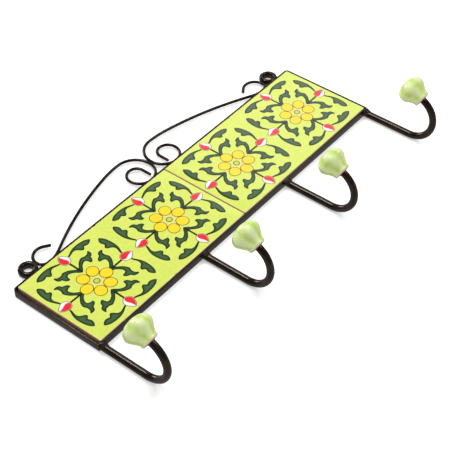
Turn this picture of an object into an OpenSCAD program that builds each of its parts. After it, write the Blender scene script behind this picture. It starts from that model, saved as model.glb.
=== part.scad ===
// Wall hook rack: four glazed tiles in an iron frame of strips on edge with a flat ledge behind, wire
// scrolls and screw eyelets along the top, and four bent rod hooks with ceramic knobs along the bottom.
// +Z is up, the rack faces -Y, and its back lies on the wall plane y = 0.
// The origin is on the wall, midway between the two screw holes.

/* [Tiles] */
// Side of one square tile
tile_side = 76.2; // [60:0.1:95]
// Thickness of a tile
tile_thick = 4.8; // [4:0.1:8]
// Radius of a tile's corners
tile_corner_r = 1.2; // [0.4:0.1:2]
// Bevel along the edges of the glazed face
tile_bevel = 0.5; // [0.2:0.1:1]
// Gap between the tiles of a pair
butt_gap = 0.1; // [0.1:0.1:1]
// Width of the grouted joint in the middle
centre_gap = 0.6; // [0.4:0.1:3]
// How far the grout lies below the tile faces
grout_recess = 0.3; // [0.1:0.1:1]
// Thickness of the adhesive between ledge and tiles
bed_thick = 0.8; // [0.3:0.1:2]
// How far the tile faces stand proud of the rim
tile_proud = 0.6; // [0:0.1:1.5]

/* [Frame] */
// Thickness of the rim round the tiles
rim_thick = 1.1; // [0.8:0.1:2.5]
// Thickness of the ledge behind the tiles
ledge_thick = 1.2; // [0.8:0.1:2.5]
// Width of the ledge behind the tiles
ledge_w = 10; // [5:0.5:18]
// Outer radius of the two upper corners
corner_r = 3; // [1.5:0.1:4]
// Outer radius of the two lower corners
foot_r = 0.6; // [0.2:0.1:0.8]
// Room between the tile row and the left bar
slack_left = 2.2; // [0.3:0.1:3]
// Room between the tile row and the right bar
slack_right = 0.4; // [0.3:0.1:3]
// Room between the tiles and the top bar
slack_top = 0.4; // [0.3:0.1:1]
// Room between the tiles and the bottom bar
slack_bottom = 0.1; // [0.1:0.1:1]

/* [Hooks] */
// Diameter of the hook rods
rod_d = 5.5; // [4:0.1:6.5]
// Straight run of each hook below the bottom bar; the rods are cut and bent by hand
shank_lens = [38, 38, 40, 40.5]; // [25:0.5:55]
// Bend radius of a hook at the middle of the rod
bend_r = 18.7; // [15.5:0.1:28]
// How far a hook turns, where 90 would leave it level
bend_turn = 155; // [135:1:165]
// How far each hook leans sideways, in degrees, as it was welded on
hook_leans = [0, 2, 1, 2]; // [-5:0.5:5]
// Straight run between each hook's bend and its knob
neck_lens = [2, 0.5, 0.5, 0.5]; // [0.5:0.1:5]
// Gap from the frame's end to the side of an end hook
end_hook_gap = 0.1; // [0:0.1:5]
// Distance between the two middle hooks
middle_hook_span = 96; // [60:0.5:110]
// Height of the weld collar round a hook
collar_h = 4.5; // [2:0.5:7]
// Spread of the weld collar beyond the rod
collar_w = 2; // [1:0.1:3]
// How far a weld collar may bulge past the frame's end, and how far it stays clear of the wall
collar_edge = 0.4; // [0.3:0.1:1]

/* [Knobs] */
// Height of a knob from its mouth to its crown
knob_h = 18.6; // [16:0.1:26]
// Height at which a knob is widest
knob_shoulder = 11.4; // [9:0.1:15]
// Widest diameter of a knob
knob_d = 23; // [18:0.2:28]
// Diameter of a knob's mouth
mouth_d = 12.8; // [10:0.2:15]
// Depth of the hole in a knob
hole_depth = 12.2; // [8:0.1:15]
// How far the rod goes into a knob
rod_grip = 11.4; // [7:0.1:14]
// Thickness of the cement round the rod
cement_t = 0.8; // [0.4:0.1:1.5]
// How far the cement lies inside the mouth
cement_recess = 0.3; // [0:0.1:1]

/* [Scrolls and eyelets] */
// Diameter of the scroll wire
wire_d = 2.3; // [1.8:0.1:3.5]
// Distance of the wire's middle from the wall
wire_y = 2.3; // [1.8:0.1:4]
// Radius of a scroll's outer turn below its widest point
outer_low_r = 13.4; // [11:0.1:18]
// Radius of a scroll's outer turn above its widest point
outer_high_r = 16.8; // [13:0.1:22]
// Radii of the inner turn, from its foot inwards
inner_turns = [11, 8.4, 7];
// Straight end of the inner turn
inner_end = 8.4; // [4:0.1:9]
// Radius at the top of the long arm
brow_r = 90; // [60:1:120]
// How far the arm turns at its top
brow_turn = 11; // [6:0.5:14]
// Straight length near the foot of the arm
arm_straight = 8; // [2:0.5:15]
// Radius where the arm turns level onto the bar
foot_turn_r = 23; // [12:0.5:30]
// Straight length of wire that lies on the bar before the end curl
level_len = 1; // [0.5:0.1:6]
// Radius over the top of the end curl
curl_r = 9.3; // [7.5:0.1:11]
// How far the end curl turns past its top
curl_over = 35; // [20:1:60]
// Straight tip of the end curl
curl_tip = 5.5; // [2:0.5:8]
// Outer diameter of an eyelet
eye_d = 14.4; // [12:0.1:18]
// Diameter of the screw hole
eye_hole_d = 7; // [4:0.1:8]
// Thickness of an eyelet
eye_thick = 5; // [3.5:0.1:6]
// Rounding of an eyelet's edges, except at the back of its hole
eye_round = 1.7; // [0.4:0.1:1.7]
// Distance from the frame's end to a screw, on average
eye_inset = 18.3; // [14:0.1:30]
// Reach of the weld metal beside a wire on the bar
weld_r = 1.8; // [1.4:0.1:2.2]
// How far scrolls and eyelets sit right of the frame's middle
crest_shift = 3.5; // [-5:0.1:5]

/* [Hidden] */
$fn = 96;

IRON = "#2a2422";
GLAZE = "#dcec70";
KNOB = "#c5e09a";
CEMENT = "#d8b9a6";
MORTAR = "#8a6a3c";
// Where two pieces of one rod or wire join, one is a hair thicker, so that they join cleanly
joint_swell = 0.04;
// How far the thin pieces of a wire reach into the thick ones
joint_lap = 0.3;
// How far the pieces of a rod stop short of the ball that joins them
joint_gap = 0.05;

// Depths, measured forward from the wall
bed_y = ledge_thick + bed_thick;
face_y = bed_y + tile_thick;
rim_y = face_y - tile_proud;

// The tile row and the frame round it
row_len = 4 * tile_side + 2 * butt_gap + centre_gap;
frame_len = row_len + slack_left + slack_right + 2 * rim_thick;
out_z1 = -eye_d / 2;
out_z0 = out_z1 - 2 * rim_thick - slack_top - tile_side - slack_bottom;
out_x0 = -crest_shift - frame_len / 2;
out_x1 = out_x0 + frame_len;
in_x0 = out_x0 + rim_thick;
in_x1 = out_x1 - rim_thick;
in_z0 = out_z0 + rim_thick;
in_z1 = out_z1 - rim_thick;
row_x = in_x0 + slack_left + row_len / 2;
tile_z = in_z0 + slack_bottom + tile_side / 2;
// Inner radius of the upper corners: less than the outer one by the rim, and clear of the tiles' corners
inner_r = max(0, min(corner_r - rim_thick, tile_corner_r + 3.4 * min(slack_top, slack_right, slack_left)));
pair_x = centre_gap / 2 + tile_side / 2;
tile_step = tile_side + butt_gap;
tile_x = [row_x - pair_x - tile_step, row_x - pair_x, row_x + pair_x, row_x + pair_x + tile_step];

// Hooks: the rods lie against the wall plane
rod_y = rod_d / 2;
hook_end = rod_y + end_hook_gap;
hook_x = [out_x0 + hook_end, row_x - middle_hook_span / 2, row_x + middle_hook_span / 2, out_x1 - hook_end];
bend_end_out = bend_r - bend_r * cos(bend_turn);
bend_end_drop = bend_r * sin(bend_turn);

// Scrolls: both ends of the long arm lie on the top bar, and the end curl meets the eyelet
wire_r = wire_d / 2;
eye_r = eye_d / 2;
eye_x = frame_len / 2 - eye_inset;
eye_wall = (eye_d - eye_hole_d) / 2;
// The rounding that the ring's wall leaves room for
eye_fillet = min(eye_round, eye_wall / 2 - 0.1, eye_thick / 2 - 0.1);
wire_z = out_z1 + wire_r;
spiral_x = wire_r + outer_low_r;
curl_low_r = eye_r - wire_r;
rise = outer_low_r + outer_high_r;
apex_x = wire_r + outer_high_r;
level_x = eye_x - eye_r - wire_r - curl_low_r - level_len;
run = level_x - apex_x;

// The arm's radius that gives the wanted run for a tilt, and the drop that goes with it
function arm_r(a) = (run - brow_r * sin(brow_turn) - arm_straight * cos(a) - foot_turn_r * sin(a))
    / (sin(a) - sin(brow_turn));
function arm_drop(a) = brow_r * (1 - cos(brow_turn)) + arm_r(a) * (cos(brow_turn) - cos(a))
    + arm_straight * sin(a) + foot_turn_r * (1 - cos(a));
// The tilt at which the arm's foot comes down to the bar, found by halving a range
function solve_tilt(low, high, n) = n == 0 ? (low + high) / 2
    : arm_drop((low + high) / 2) < rise ? solve_tilt((low + high) / 2, high, n - 1)
    : solve_tilt(low, (low + high) / 2, n - 1);
arm_tilt = solve_tilt(brow_turn + 1, 70, 40);

// A wire follows a list of [radius, turn] bends and [0, length] straights; left turns are positive
arm_path = [
    [outer_low_r, 90], [outer_high_r, 90], [brow_r, brow_turn],
    [arm_r(arm_tilt), arm_tilt - brow_turn], [0, arm_straight], [foot_turn_r, -arm_tilt],
    [0, level_len], [curl_low_r, -90], [curl_r, -90 - curl_over], [0, curl_tip]
];
inner_path = [for (r = inner_turns) [r, -90], [0, inner_end]];

// Outline of the frame or of its inside, with its own radii above and below
module frame_outline(x0, z0, x1, z1, top_r, low_r) {
    difference() {
        translate([x0, z0]) square([x1 - x0, z1 - z0]);
        for (c = [[x0, 1], [x1, -1]]) {
            if (top_r > 0) corner_waste(c[0], z1, c[1], -1, top_r);
            if (low_r > 0) corner_waste(c[0], z0, c[1], 1, low_r);
        }
    }
}

// What is taken off a square corner to round it
module corner_waste(x, z, sx, sz, r) {
    difference() {
        translate([x, z]) square(2 * r, center = true);
        translate([x + sx * r, z + sz * r]) circle(r);
    }
}

// Puts an outline drawn in x and z between two depths in front of the wall
module forward(from_y, to_y) {
    translate([0, -from_y, 0]) rotate([90, 0, 0]) linear_extrude(to_y - from_y) children();
}

// The whole rim, a strip on edge round the tiles, before it is cut into four
module rim_ring() {
    difference() {
        forward(0, rim_y) frame_outline(out_x0, out_z0, out_x1, out_z1, corner_r, foot_r);
        forward(-1, rim_y + 1) frame_outline(in_x0, in_z0, in_x1, in_z1, inner_r, 0);
    }
}

// A flat ring as wide as the ledge, inside the rim, between two depths
module ledge_ring(from_y, to_y) {
    difference() {
        forward(from_y, to_y) frame_outline(in_x0, in_z0, in_x1, in_z1, inner_r, 0);
        forward(from_y - 1, to_y + 1) translate([in_x0 + ledge_w, in_z0 + ledge_w])
            square([in_x1 - in_x0 - 2 * ledge_w, in_z1 - in_z0 - 2 * ledge_w]);
    }
}

// The wedge of space that belongs to one bar, mitred at 45 degrees
module mitre(side) {
    d = ledge_w + rim_thick + 5;
    top = [[out_x0, out_z1], [out_x1, out_z1], [out_x1 - d, out_z1 - d], [out_x0 + d, out_z1 - d]];
    low = [[out_x0, out_z0], [out_x1, out_z0], [out_x1 - d, out_z0 + d], [out_x0 + d, out_z0 + d]];
    forward(-1, rim_y + 1) polygon(
        side == "top" ? top : side == "bottom" ? low
        : side == "left" ? [top[0], top[3], low[3], low[0]] : [top[1], top[2], low[2], low[1]]);
}

module frame_bar(side) {
    color(IRON) intersection() {
        rim_ring();
        mitre(side);
    }
}

// A flat bar behind the tiles' edges, welded into the rim
module ledge_bar(side) {
    color(IRON) intersection() {
        ledge_ring(0, ledge_thick);
        mitre(side);
    }
}

// A square tile with rounded corners and a bevelled face
module tile(i) {
    half = tile_side / 2;
    bevelled = [[-half, -bed_y], [half, -bed_y], [half, -face_y + tile_bevel], [half - tile_bevel, -face_y],
        [-half + tile_bevel, -face_y], [-half, -face_y + tile_bevel]];
    color(GLAZE) translate([tile_x[i], 0, tile_z]) intersection() {
        forward(bed_y, face_y) frame_outline(-half, -half, half, half, tile_corner_r, tile_corner_r);
        translate([0, 0, -half]) linear_extrude(tile_side) polygon(bevelled);
        rotate([0, 90, 0]) translate([0, 0, -half]) linear_extrude(tile_side) polygon(bevelled);
    }
}

// The bed of adhesive on the ledge
module tile_adhesive() {
    color(MORTAR) ledge_ring(ledge_thick, bed_y);
}

module centre_grout() {
    color(MORTAR) forward(bed_y, face_y - grout_recess)
        translate([row_x, tile_z]) square([centre_gap, tile_side], center = true);
}

// A piece of ring in the XY plane that starts at the origin along +X and turns left, and is longer by lap at
// either end
module bend(r, turn, d, lap) {
    extra = lap / r * 180 / PI;
    translate([0, r, 0]) rotate(-90 - extra) rotate_extrude(angle = turn + 2 * extra) translate([r, 0])
        circle(d = d);
}

module joint_ball(d) {
    sphere(d = d + joint_swell);
}

// A hook: shank, bend and the end that goes into the knob
module hook(i) {
    color(IRON) {
        at_shank_end(i) {
            translate([0, 0, joint_gap]) cylinder(h = shank_lens[i] - joint_gap, d = rod_d);
            joint_ball(rod_d);
            rotate([0, 90, 0]) mirror([0, 1, 0]) bend(bend_r, bend_turn, rod_d, -joint_gap);
        }
        at_bend_end(i) {
            joint_ball(rod_d);
            translate([0, 0, joint_gap]) cylinder(h = neck_lens[i] + rod_grip - joint_gap, d = rod_d);
        }
    }
}

// Places things at the lower end of a hook's shank, leaning with the hook
module at_shank_end(i) {
    translate([hook_x[i], -rod_y, out_z0 - shank_lens[i]]) rotate([0, 0, hook_leans[i]]) children();
}

// Places things at the end of a hook's bend, with z along the rod
module at_bend_end(i) {
    at_shank_end(i) translate([0, -bend_end_out, -bend_end_drop]) rotate([180 - bend_turn, 0, 0]) children();
}

// Places things on a knob's axis, with the mouth at z = 0
module at_mouth(i) {
    at_bend_end(i) translate([0, 0, neck_lens[i]]) children();
}

// Half outline of a knob: a flared mouth that swells into a dome
function knob_outline(n) = concat(
    [for (k = [0 : n]) let (t = k / n) [
        mouth_d / 2 + (knob_d - mouth_d) / 2 * t * t * (3 - 2 * t), knob_shoulder * t]],
    [for (k = [1 : n]) let (a = 90 * k / n) [
        knob_d / 2 * cos(a), knob_shoulder + (knob_h - knob_shoulder) * sin(a)]],
    [[0, 0]]);

module knob(i) {
    color(KNOB) at_mouth(i) difference() {
        rotate_extrude() polygon(knob_outline(10));
        translate([0, 0, -1]) cylinder(h = hole_depth + 1, d = rod_d + 2 * cement_t);
    }
}

module knob_cement(i) {
    color(CEMENT) at_mouth(i) difference() {
        translate([0, 0, cement_recess]) cylinder(h = hole_depth - cement_recess, d = rod_d + 2 * cement_t);
        translate([0, 0, -1]) cylinder(h = rod_grip + 1, d = rod_d);
    }
}

// A wire that starts at the origin along +X and ends in a round tip. Its pieces are by turns a hair thicker
// and thinner, and the thin ones reach into the thick ones
module wire(path, d, thick = 0, i = 0) {
    across = d + thick * joint_swell;
    lap = (1 - thick) * joint_lap;
    if (i == len(path)) sphere(d = d + 2 * joint_swell);
    else if (path[i][0] == 0) {
        length = path[i][1];
        translate([-lap, 0, 0]) rotate([0, 90, 0]) cylinder(h = length + 2 * lap, d = across);
        translate([length, 0, 0]) wire(path, d, 1 - thick, i + 1);
    } else {
        r = path[i][0];
        turn = path[i][1];
        side = sign(turn);
        mirror([0, side < 0 ? 1 : 0, 0]) bend(r, abs(turn), across, lap);
        translate([0, side * r, 0]) rotate(turn) translate([0, -side * r, 0]) wire(path, d, 1 - thick, i + 1);
    }
}

// The left scroll, from its foot on the bar both ways; the right one is its mirror image
module left_scroll() {
    translate([-spiral_x, -wire_y, wire_z]) rotate([90, 0, 0]) {
        wire(arm_path, wire_d);
        rotate(180) wire(inner_path, wire_d, 1);
    }
}

module scroll(side) {
    color(IRON) mirror([side > 0 ? 1 : 0, 0, 0]) left_scroll();
}

// A thick ring with rounded edges; its hole is a true bore that starts at the wall
module eyelet(side) {
    color(IRON) translate([side * eye_x, 0, 0]) rotate([90, 0, 0])
        rotate_extrude() translate([eye_hole_d / 2, 0]) {
            translate([eye_fillet, 0]) square([eye_wall - 2 * eye_fillet, eye_thick]);
            translate([0, eye_fillet]) square([eye_wall, eye_thick - 2 * eye_fillet]);
            square([eye_wall / 2, eye_thick / 2]);
            for (x = [eye_fillet, eye_wall - eye_fillet], y = [eye_fillet, eye_thick - eye_fillet])
                translate([x, y]) circle(eye_fillet);
        }
}

// Weld collars round the hooks, under the bottom bar; each is open towards the wall
module hook_welds() {
    color(IRON) intersection() {
        for (x = hook_x) translate([x, -rod_y, out_z0 - collar_h]) difference() {
            cylinder(h = collar_h, r1 = rod_y + 0.3, r2 = rod_y + collar_w);
            translate([0, 0, -1]) cylinder(h = collar_h + 2, d = rod_d);
        }
        translate([out_x0 - collar_edge, -rim_y, out_z0 - collar_h])
            cube([frame_len + 2 * collar_edge, rim_y - collar_edge, collar_h]);
    }
}

// Weld metal in the two crevices where a wire touches the top bar
module foot_fillets(x, length) {
    translate([x, -wire_y, out_z1]) difference() {
        intersection() {
            rotate([0, 90, 0]) cylinder(h = length, r = weld_r, center = true);
            translate([-length, -weld_r, 0]) cube([2 * length, 2 * weld_r, wire_r]);
        }
        translate([0, 0, wire_r]) rotate([0, 90, 0]) cylinder(h = length + 1, d = wire_d, center = true);
        cube([length + 1, weld_r / 2, 2 * wire_d], center = true);
    }
}

// The same where a ring touches the bar, on both sides of the contact
module ring_fillets(x) {
    translate([x, -eye_thick / 2, out_z1]) difference() {
        translate([-2 * weld_r, -eye_thick / 4, 0]) cube([4 * weld_r, eye_thick / 2, weld_r / 2]);
        translate([0, 0, eye_r]) rotate([90, 0, 0]) cylinder(h = eye_thick, d = eye_d, center = true);
        cube([1.5 * weld_r, eye_thick, eye_thick], center = true);
    }
}

// The same in front of and behind the place where the two scrolls touch
module meeting_fillets(length) {
    translate([0, -wire_y, wire_z + outer_low_r]) difference() {
        for (y = [-1, 1]) translate([0, 0.9 * y * wire_r, 0]) cylinder(h = length, d = wire_r, center = true);
        for (x = [-1, 1]) translate([x * wire_r, 0, 0]) cylinder(h = length + 1, d = wire_d, center = true);
    }
}

module crest_welds() {
    color(IRON) {
        for (side = [-1, 1]) {
            foot_fillets(side * spiral_x, 5);
            foot_fillets(side * (level_x + level_len / 2), 3);
            ring_fillets(side * eye_x);
        }
        meeting_fillets(3);
    }
}

frame_bar("top");  // frame_top
frame_bar("bottom");  // frame_bottom
frame_bar("left");  // frame_left
frame_bar("right");  // frame_right
ledge_bar("top");  // ledge_top
ledge_bar("bottom");  // ledge_bottom
ledge_bar("left");  // ledge_left
ledge_bar("right");  // ledge_right
tile(0);  // tile_1
tile(1);  // tile_2
tile(2);  // tile_3
tile(3);  // tile_4
tile_adhesive();
centre_grout();
hook(0);  // hook_1
hook(1);  // hook_2
hook(2);  // hook_3
hook(3);  // hook_4
knob(0);  // knob_1
knob(1);  // knob_2
knob(2);  // knob_3
knob(3);  // knob_4
knob_cement(0);  // knob_cement_1
knob_cement(1);  // knob_cement_2
knob_cement(2);  // knob_cement_3
knob_cement(3);  // knob_cement_4
scroll(-1);  // scroll_left
scroll(1);  // scroll_right
eyelet(-1);  // eyelet_left
eyelet(1);  // eyelet_right
hook_welds();
crest_welds();
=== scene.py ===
"""A wall hook rack: four glazed tiles with a painted flower in a black iron frame, wire scrolls and screw
eyelets along the top, and four bent rod hooks with lobed ceramic knobs along the bottom."""

import logging
import math
from dataclasses import dataclass, field
from enum import Enum
from typing import Any

import bmesh
import bpy
import numpy as np
from mathutils import Matrix, Vector, noise


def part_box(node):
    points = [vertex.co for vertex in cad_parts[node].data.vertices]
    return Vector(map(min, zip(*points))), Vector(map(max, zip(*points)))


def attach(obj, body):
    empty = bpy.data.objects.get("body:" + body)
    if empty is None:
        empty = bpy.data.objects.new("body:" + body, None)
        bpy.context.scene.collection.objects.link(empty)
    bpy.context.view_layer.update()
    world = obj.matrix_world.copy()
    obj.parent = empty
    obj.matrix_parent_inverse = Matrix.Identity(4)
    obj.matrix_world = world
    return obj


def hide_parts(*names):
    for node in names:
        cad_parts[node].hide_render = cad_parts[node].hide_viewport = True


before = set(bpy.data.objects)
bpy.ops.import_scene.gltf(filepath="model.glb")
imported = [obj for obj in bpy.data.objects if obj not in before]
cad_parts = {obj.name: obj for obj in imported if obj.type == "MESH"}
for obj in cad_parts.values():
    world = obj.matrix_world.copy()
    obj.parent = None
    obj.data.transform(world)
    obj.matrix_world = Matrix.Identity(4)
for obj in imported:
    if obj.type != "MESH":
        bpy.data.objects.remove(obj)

MM = 0.001
BODY = "root"
# A depth for corners that lie in no part of a painting
OUTSIDE_MM = -9.0
# How many sides a rod's section has, and the length of the waves in its thickness
ROD_SIDES = 32
ROD_WAVE = 12 * MM
# How many times in a metre the lobes of a knob drift to and fro
LOBE_DRIFTS = 120.0
LOG = logging.getLogger("hook_rack")
Points = list[tuple[float, float]]


class Side(Enum):
    """The two mirrored halves of the crest."""

    LEFT = -1
    RIGHT = 1


# ---------------------------------------------------------------- shared helpers


def linear(hex_colour: str) -> tuple[float, float, float, float]:
    """Turns an sRGB hex colour into linear RGBA.

    Args:
        hex_colour: A colour such as "#d9ec6b".

    Returns:
        The linear colour, with an alpha of 1.
    """
    values = [int(hex_colour[i : i + 2], 16) / 255 for i in (1, 3, 5)]
    red, green, blue = [v / 12.92 if v <= 0.04045 else ((v + 0.055) / 1.055) ** 2.4 for v in values]
    return red, green, blue, 1.0


def scale_for(size_mm: float) -> float:
    """A pattern's scale that gives it features of a size in millimetres."""
    return 1 / (size_mm * MM)


def fill_sockets(tree: bpy.types.NodeTree, node: bpy.types.Node, sockets: dict[str | int, Any]) -> None:
    """Sets or links a node's inputs.

    Args:
        tree: The node's tree.
        node: The node.
        sockets: For an input's name or number, its value or the output that feeds it.
    """
    for key, value in sockets.items():
        if isinstance(value, bpy.types.NodeSocket):
            tree.links.new(value, node.inputs[key])
        else:
            node.inputs[key].default_value = value


def add_node(
    tree: bpy.types.NodeTree, kind: str, sockets: dict[str | int, Any] | None = None, **settings: Any
) -> bpy.types.Node:
    """Adds one node with its settings, and sets or links its inputs.

    Args:
        tree: The material's or modifier's node tree.
        kind: The node's type name.
        sockets: For an input's name or number, its value or the output that feeds it.
        settings: The node's own properties.

    Returns:
        The new node.
    """
    node = tree.nodes.new(kind)
    for name, value in settings.items():
        setattr(node, name, value)
    fill_sockets(tree, node, sockets or {})
    return node


def smoothstep(low: float, high: float, value: np.ndarray) -> np.ndarray:
    """Rises smoothly from 0 at low to 1 at high."""
    t = np.clip((value - low) / (high - low), 0, 1)
    return t * t * (3 - 2 * t)


def wander(x: np.ndarray, z: np.ndarray, seed: float) -> np.ndarray:
    """A smooth, hand-like unevenness between -1 and 1.

    Args:
        x: First coordinates, in millimetres.
        z: Second coordinates, in millimetres.
        seed: Shifts the pattern, so that no two pieces share it.

    Returns:
        One value for each point.
    """
    waves = ((0.11, 0.07, 1.0), (-0.05, 0.13, 0.8), (0.23, -0.19, 0.45), (0.31, 0.29, 0.3))
    total = sum(a * np.sin(u * x + v * z + seed * (3.1 + 1.7 * k)) for k, (u, v, a) in enumerate(waves))
    return total / sum(a for _, _, a in waves)


def linked(name: str, data: bpy.types.ID) -> bpy.types.Object:
    """Puts data into the scene as an object at the origin.

    Args:
        name: The object's name.
        data: Its mesh, lamp or camera.

    Returns:
        The new object.
    """
    thing = bpy.data.objects.new(name, data)
    bpy.context.scene.collection.objects.link(thing)
    return thing


def mesh_object(name: str, vertices: np.ndarray, faces: list[tuple[int, ...]]) -> bpy.types.Object:
    """Makes a mesh object at the origin.

    Args:
        name: The object's name.
        vertices: Corner positions in metres, one row each.
        faces: Corner numbers of each face.

    Returns:
        The linked object, shaded smooth.
    """
    mesh = bpy.data.meshes.new(name)
    mesh.from_pydata([tuple(v) for v in vertices], [], faces)
    mesh.shade_smooth()
    mesh.update()
    return linked(name, mesh)


def write_field(mesh: bpy.types.Mesh, name: str, values: np.ndarray) -> None:
    """Stores one number for each corner of a mesh, for its material to read."""
    attribute = mesh.attributes.new(name, "FLOAT", "POINT")
    attribute.data.foreach_set("value", np.asarray(values, np.float32))


def mount_piece(piece: bpy.types.Object, node: str) -> bpy.types.Object:
    """Fixes a finished piece to the rack in place of its plain solid.

    Args:
        piece: The finished piece.
        node: The solid that the piece stands for.

    Returns:
        The same piece.
    """
    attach(piece, BODY)
    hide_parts(node)
    return piece


def closed_curve(points: Points, steps: int = 4) -> np.ndarray:
    """Rounds a closed outline through its points.

    Args:
        points: The outline's own points, in millimetres.
        steps: How many short lines replace each span.

    Returns:
        The rounded outline, one row a point.
    """
    p = np.array(points, float)
    before, after, beyond = np.roll(p, 1, 0), np.roll(p, -1, 0), np.roll(p, -2, 0)
    spans = []
    for t in np.arange(steps) / steps:
        spans.append(
            0.5 * (2 * p + (after - before) * t + (2 * before - 5 * p + 4 * after - beyond) * t**2
                   + (3 * p - before - 3 * after + beyond) * t**3)
        )
    return np.stack(spans, 1).reshape(-1, 2)


def signed_distance(x: np.ndarray, z: np.ndarray, outline: np.ndarray) -> np.ndarray:
    """How far points lie inside a closed outline.

    Args:
        x: First coordinates.
        z: Second coordinates.
        outline: The outline's points.

    Returns:
        The distance to the outline, positive inside and negative outside.
    """
    start, end = outline, np.roll(outline, -1, 0)
    nearest = np.full(x.shape, np.inf)
    inside = np.zeros(x.shape, bool)
    for (ax, az), (bx, bz) in zip(start, end):
        ux, uz = bx - ax, bz - az
        t = np.clip(((x - ax) * ux + (z - az) * uz) / (ux * ux + uz * uz + 1e-12), 0, 1)
        nearest = np.minimum(nearest, np.hypot(x - ax - t * ux, z - az - t * uz))
        crosses = (az > z) != (bz > z)
        with np.errstate(divide="ignore", invalid="ignore"):
            inside ^= crosses & (x < ux * (z - az) / (bz - az) + ax)
    return np.where(inside, nearest, -nearest)


# ---------------------------------------------------------------- finishes


@dataclass(frozen=True)
class Finish:
    """A surface finish: one shader, fed by patterns that lie on the object's own coordinates."""

    name: str

    def surface(self, tree: bpy.types.NodeTree, place: bpy.types.NodeSocket) -> dict[str, Any]:
        """Lays the finish's own nodes.

        Args:
            tree: The material's node tree.
            place: The object's coordinates.

        Returns:
            For each of the shader's inputs that the finish sets, its value or the output that feeds it.
        """
        raise NotImplementedError

    def material(self) -> bpy.types.Material:
        """Builds the material.

        Returns:
            A new material that wears the finish.
        """
        material = bpy.data.materials.new(self.name)
        material.use_nodes = True
        tree = material.node_tree
        place = add_node(tree, "ShaderNodeTexCoord").outputs["Object"]
        fill_sockets(tree, tree.nodes["Principled BSDF"], self.surface(tree, place))
        return material


@dataclass(frozen=True)
class PaintLayer:
    """One coat of colour that a field of distances lays over the coats below it."""

    field: str
    starts_mm: float
    full_mm: float
    colour: str


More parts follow.
